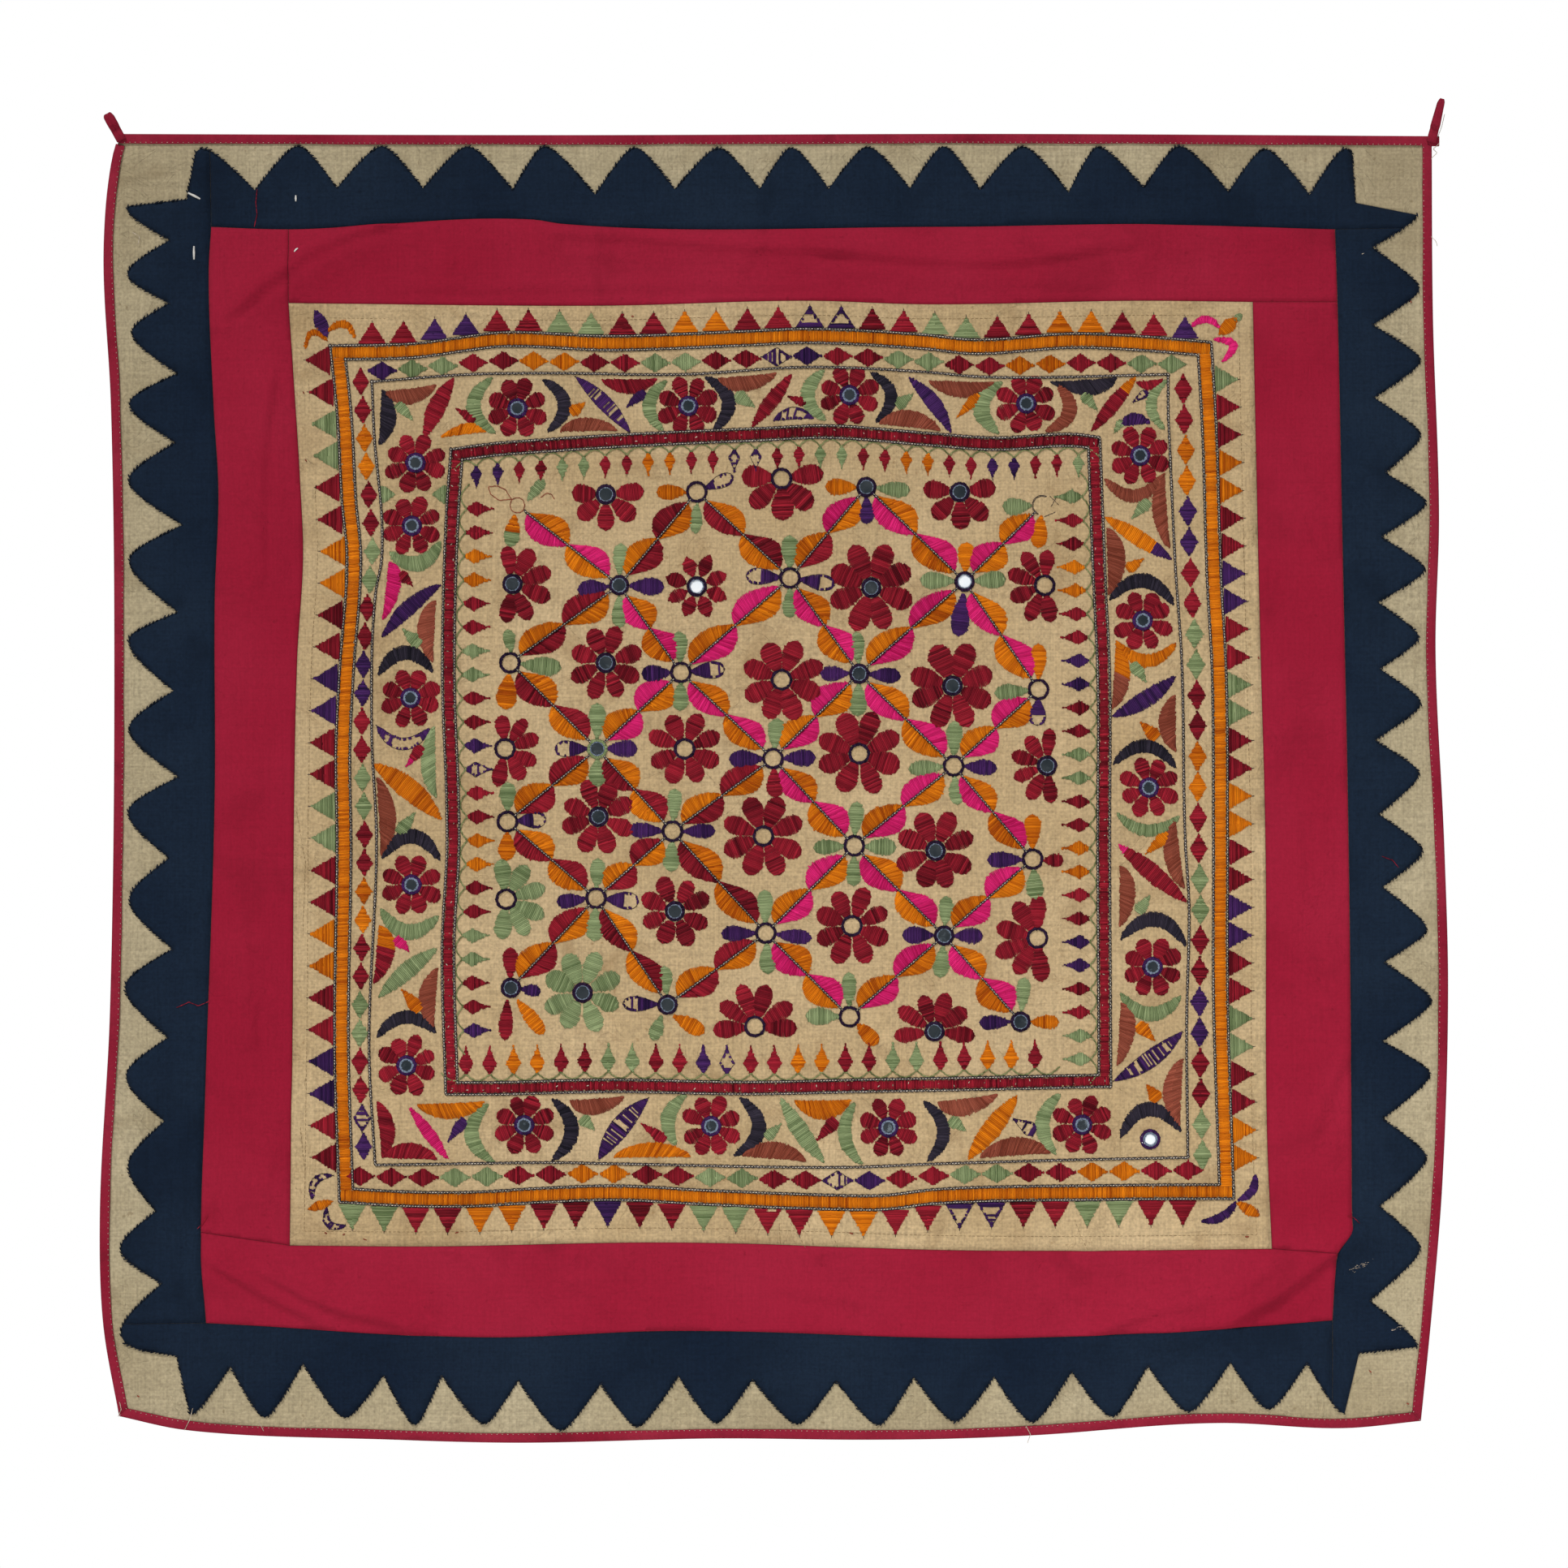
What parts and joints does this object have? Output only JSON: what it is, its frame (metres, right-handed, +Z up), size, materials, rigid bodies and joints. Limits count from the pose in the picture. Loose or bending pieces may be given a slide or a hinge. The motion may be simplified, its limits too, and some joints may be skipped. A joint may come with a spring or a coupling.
{
  "type": "embroidered wall hanging",
  "caption": "Square cotton wall hanging with an embroidered mirror-work panel, crimson and navy dogtooth borders, red binding and a hanging loop at each top corner.",
  "frame": {"origin": "middle of the top edge, on the plane of the wall behind it", "axes": "+X to the right seen from the front, -Y out of the embroidered face, +Z up"},
  "size_m": [1.112, 0.0173, 1.1095],
  "materials": {
    "ground": "plain-woven unbleached cotton, aged and stained",
    "panel": "plain-woven unbleached cotton, slubbed",
    "crimson": "dyed cotton, matte, slightly faded",
    "navy": "dyed cotton, matte, cut in rounded teeth and overcast",
    "binding": "dyed cotton strip, folded over and running-stitched",
    "glass": "old silvered glass, slightly clouded",
    "thread": "floss and cotton embroidery thread"
  },
  "bodies": {
    "root": {"ground_cloth": "ground", "embroidered_panel": "panel", "crimson_strip_left": "crimson", "crimson_strip_top": "crimson", "crimson_strip_right": "crimson", "crimson_strip_bottom": "crimson", "dogtooth_left": "navy", "dogtooth_top": "navy", "dogtooth_right": "navy", "dogtooth_bottom": "navy", "binding_left": "binding", "binding_top": "binding", "binding_right": "binding", "binding_bottom": "binding", "hanging_loop_left": "binding", "hanging_loop_right": "binding", "mirror_01": "glass", "mirror_02": "glass", "mirror_03": "glass", "mirror_04": "glass", "mirror_05": "glass", "mirror_06": "glass", "mirror_07": "glass", "mirror_08": "glass", "mirror_09": "glass", "mirror_10": "glass", "mirror_11": "glass", "mirror_12": "glass", "mirror_13": "glass", "mirror_14": "glass", "mirror_15": "glass", "mirror_16": "glass", "mirror_17": "glass", "mirror_18": "glass", "mirror_19": "glass", "mirror_20": "glass", "mirror_21": "glass", "mirror_22": "glass", "mirror_23": "glass", "mirror_24": "glass", "mirror_25": "glass", "mirror_26": "glass", "mirror_27": "glass", "mirror_28": "glass", "mirror_29": "glass", "mirror_30": "glass", "mirror_31": "glass", "mirror_32": "glass", "mirror_33": "glass", "mirror_34": "glass", "mirror_35": "glass", "mirror_36": "glass", "mirror_37": "glass", "mirror_38": "glass", "mirror_39": "glass", "mirror_40": "glass"}
  },
  "joints": []
}
